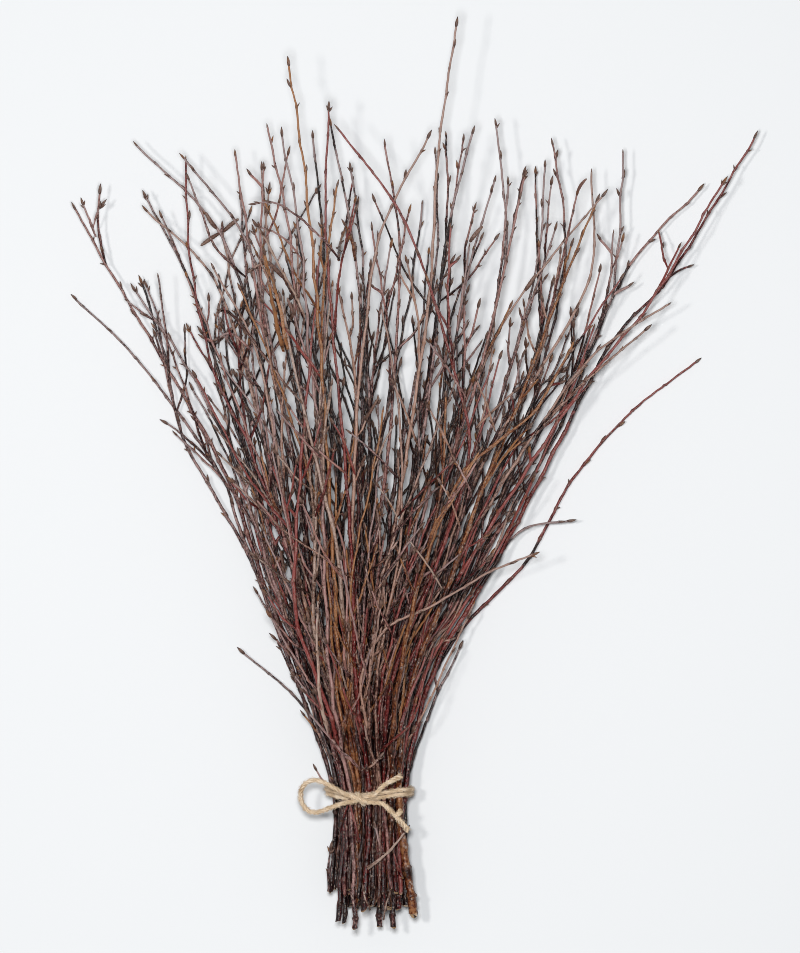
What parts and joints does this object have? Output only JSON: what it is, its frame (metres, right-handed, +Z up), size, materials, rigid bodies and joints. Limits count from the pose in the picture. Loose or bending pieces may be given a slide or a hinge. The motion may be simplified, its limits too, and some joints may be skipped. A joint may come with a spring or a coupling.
{
  "type": "bundle of twigs",
  "caption": "Fan-shaped bundle of bare budded birch twigs, tied near the cut ends with a jute twine bow, lying on its side.",
  "frame": {"origin": "middle of the bundle's footprint, on the surface it lies on", "axes": "+Y from the cut ends towards the fan of tips, +Z up out of the surface, +X to the right as seen from above"},
  "size_m": [0.4126, 0.5412, 0.0844],
  "materials": {
    "bark_dark": "thin young birch bark, matte with a faint sheen",
    "bark_brown": "thin young birch bark, matte with a faint sheen",
    "bark_red": "thin young birch bark, matte with a faint sheen",
    "bark_orange": "thin young birch bark, matte with a faint sheen",
    "bark_tan": "thin young birch bark, matte with a faint sheen",
    "jute": "twisted natural jute twine, matte and hairy"
  },
  "bodies": {
    "root": {"twig_left_01": "bark_dark", "twig_left_02": "bark_dark", "twig_left_03": "bark_dark", "twig_left_04": "bark_dark", "twig_left_05": "bark_dark", "twig_left_06": "bark_brown", "twig_left_07": "bark_dark", "twig_left_08": "bark_red", "twig_left_09": "bark_dark", "twig_left_10": "bark_dark", "twig_left_11": "bark_dark", "twig_left_12": "bark_brown", "twig_middle_01": "bark_brown", "twig_middle_02": "bark_dark", "twig_middle_03": "bark_dark", "twig_middle_04": "bark_orange", "twig_middle_05": "bark_dark", "twig_middle_06": "bark_red", "twig_middle_07": "bark_dark", "twig_middle_08": "bark_red", "twig_middle_09": "bark_dark", "twig_middle_10": "bark_dark", "twig_middle_11": "bark_brown", "twig_middle_12": "bark_dark", "twig_middle_13": "bark_brown", "twig_middle_14": "bark_dark", "twig_middle_15": "bark_dark", "twig_middle_16": "bark_tan", "twig_middle_17": "bark_tan", "twig_middle_18": "bark_red", "twig_middle_19": "bark_orange", "twig_middle_20": "bark_dark", "twig_right_01": "bark_dark", "twig_right_02": "bark_dark", "twig_right_03": "bark_dark", "twig_right_04": "bark_brown", "twig_right_05": "bark_dark", "twig_right_06": "bark_dark", "twig_right_07": "bark_brown", "twig_right_08": "bark_orange", "twig_right_09": "bark_dark", "twig_right_10": "bark_dark", "twig_right_11": "bark_red", "twig_right_12": "bark_red", "twig_right_13": "bark_brown", "twig_right_14": "bark_red", "twig_right_15": "bark_dark", "twig_right_16": "bark_orange", "twig_right_17": "bark_dark", "twig_right_18": "bark_dark", "twine_turn_1": "jute", "twine_turn_2": "jute", "twine_knot": "jute", "twine_loop": "jute", "twine_tail_upper": "jute", "twine_tail_lower": "jute"}
  },
  "joints": []
}
